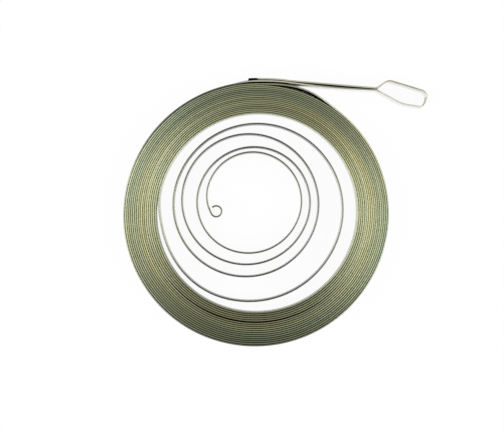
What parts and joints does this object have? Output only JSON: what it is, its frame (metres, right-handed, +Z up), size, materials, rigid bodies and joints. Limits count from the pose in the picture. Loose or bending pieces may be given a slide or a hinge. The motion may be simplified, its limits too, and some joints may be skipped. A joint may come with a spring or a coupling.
{
  "type": "recoil starter spring",
  "caption": "Recoil starter spring: flat steel strip wound on edge into a tight spiral coil, with loose inner turns that end in a small curl and an outer end folded into a long eye.",
  "frame": {"origin": "on the axis of the tight coil, in the plane that the coil lies on", "axes": "+Z up along the coil's axis, +X along the long side of the outer eye, +Y towards the side of the coil where the eye stands out"},
  "size_m": [0.0741, 0.084, 0.007],
  "materials": {
    "spring_steel": "oiled olive-grey strip with bright slit edges"
  },
  "bodies": {
    "root": {"spiral_spring": "spring_steel"}
  },
  "joints": []
}
